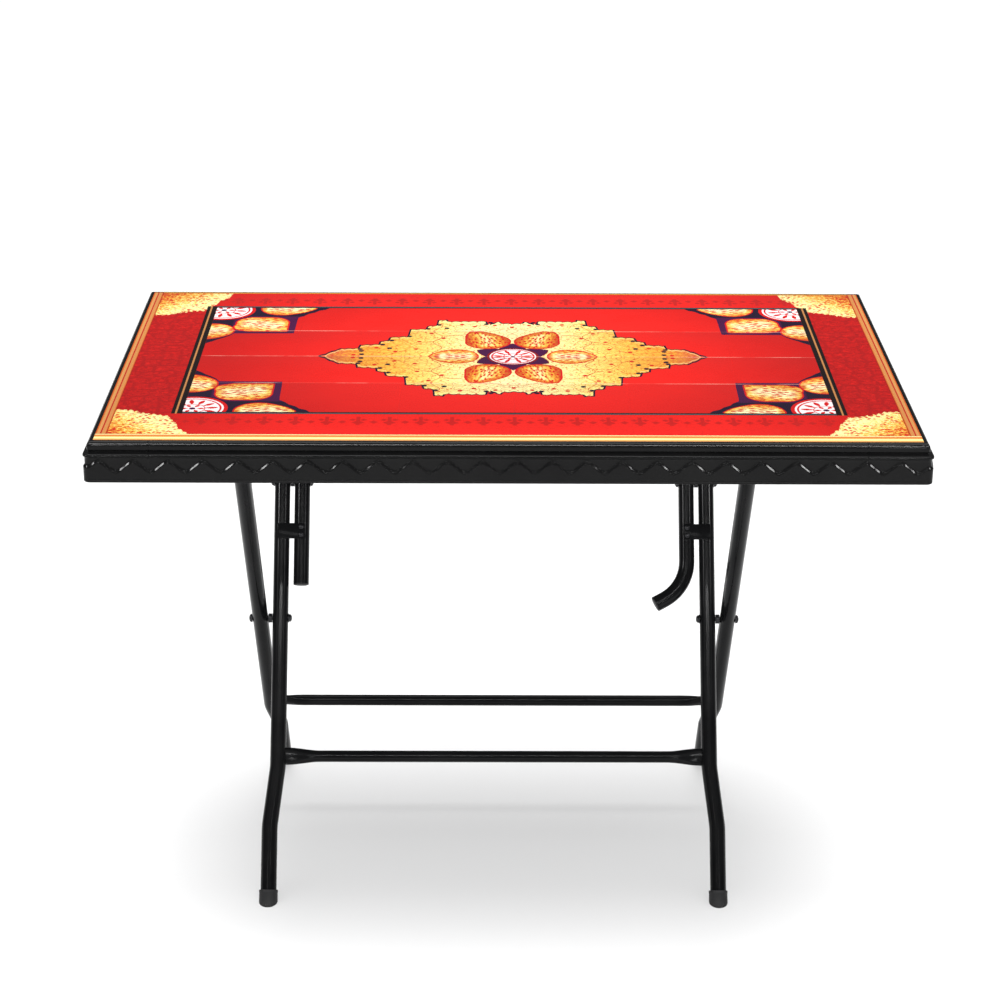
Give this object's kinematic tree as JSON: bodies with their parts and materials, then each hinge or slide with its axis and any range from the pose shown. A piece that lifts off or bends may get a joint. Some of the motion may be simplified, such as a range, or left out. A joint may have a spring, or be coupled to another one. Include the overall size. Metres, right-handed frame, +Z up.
{
  "type": "folding table",
  "caption": "Rectangular folding table with a moulded plastic top under a printed film, on crossed tubular steel legs that a lever frame locks open.",
  "frame": {"origin": "on the floor under the middle of the tabletop, table standing open", "axes": "+Z up, +X along the long side to the right of a person at the front, +Y towards the rear long side, under which the lever frame is hinged"},
  "size_m": [1.05, 0.64, 0.715],
  "materials": {
    "table_plastic": "moulded satin black polypropylene",
    "printed_top": "glossy printed film, red carpet pattern",
    "powder_coat": "glossy black powder coat on steel tube",
    "black_hardware": "blackened bolts, nuts, spacers and rivets",
    "cap_plastic": "black moulded foot caps and tube plugs",
    "zinc_steel": "zinc-plated saddles and screws"
  },
  "bodies": {
    "tabletop": {"front_saddle_left": "zinc_steel", "front_saddle_right": "zinc_steel", "front_saddle_screw_left_1": "zinc_steel", "front_saddle_screw_left_2": "zinc_steel", "front_saddle_screw_right_1": "zinc_steel", "front_saddle_screw_right_2": "zinc_steel", "printed_film": "printed_top", "rear_saddle_left": "zinc_steel", "rear_saddle_right": "zinc_steel", "rear_saddle_screw_left_1": "zinc_steel", "rear_saddle_screw_left_2": "zinc_steel", "rear_saddle_screw_right_1": "zinc_steel", "rear_saddle_screw_right_2": "zinc_steel", "tabletop_shell": "table_plastic"},
    "outer_frame": {"outer_foot_cap_left": "cap_plastic", "outer_foot_cap_right": "cap_plastic", "outer_leg_left": "powder_coat", "outer_leg_right": "powder_coat", "outer_stretcher": "powder_coat", "outer_top_bar": "powder_coat", "pivot_bolt_left": "black_hardware", "pivot_bolt_right": "black_hardware", "pivot_nut_left": "black_hardware", "pivot_nut_right": "black_hardware", "pivot_spacer_left": "black_hardware", "pivot_spacer_right": "black_hardware"},
    "inner_frame": {"inner_foot_cap_left": "cap_plastic", "inner_foot_cap_right": "cap_plastic", "inner_leg_left": "powder_coat", "inner_leg_plug_left": "cap_plastic", "inner_leg_plug_right": "cap_plastic", "inner_leg_right": "powder_coat", "inner_stretcher": "powder_coat", "knee_nut_left": "black_hardware", "knee_nut_right": "black_hardware"},
    "lever_frame": {"knee_bolt_left": "black_hardware", "knee_bolt_right": "black_hardware", "knee_spacer_left": "black_hardware", "knee_spacer_right": "black_hardware", "lever_arm_left": "powder_coat", "lever_arm_right": "powder_coat", "lever_plug_left": "cap_plastic", "lever_plug_right": "cap_plastic", "lever_top_bar": "powder_coat", "stop_plate_left": "powder_coat", "stop_plate_right": "powder_coat", "stop_rivet_left_1": "black_hardware", "stop_rivet_left_2": "black_hardware", "stop_rivet_right_1": "black_hardware", "stop_rivet_right_2": "black_hardware"}
  },
  "joints": [
    {"name": "fold", "type": "hinge", "parent": "tabletop", "child": "outer_frame", "pos_m": [-0.016, -0.21174, 0.674], "axis": [1, 0, 0], "range_deg": [0, 52]},
    {"name": "inner_swing", "type": "hinge", "parent": "outer_frame", "child": "inner_frame", "pos_m": [-0.016, 0, 0.334], "axis": [1, 0, 0], "range_deg": [0, 59.4]},
    {"name": "lever_swing", "type": "hinge", "parent": "tabletop", "child": "lever_frame", "pos_m": [-0.016, 0.21827, 0.69], "axis": [1, 0, 0], "range_deg": [-53, 0]}
  ],
  "couplings": [
    {"joint": "inner_swing", "follows": "fold", "ratio": 1.141},
    {"joint": "lever_swing", "follows": "fold", "ratio": -1.0186}
  ]
}
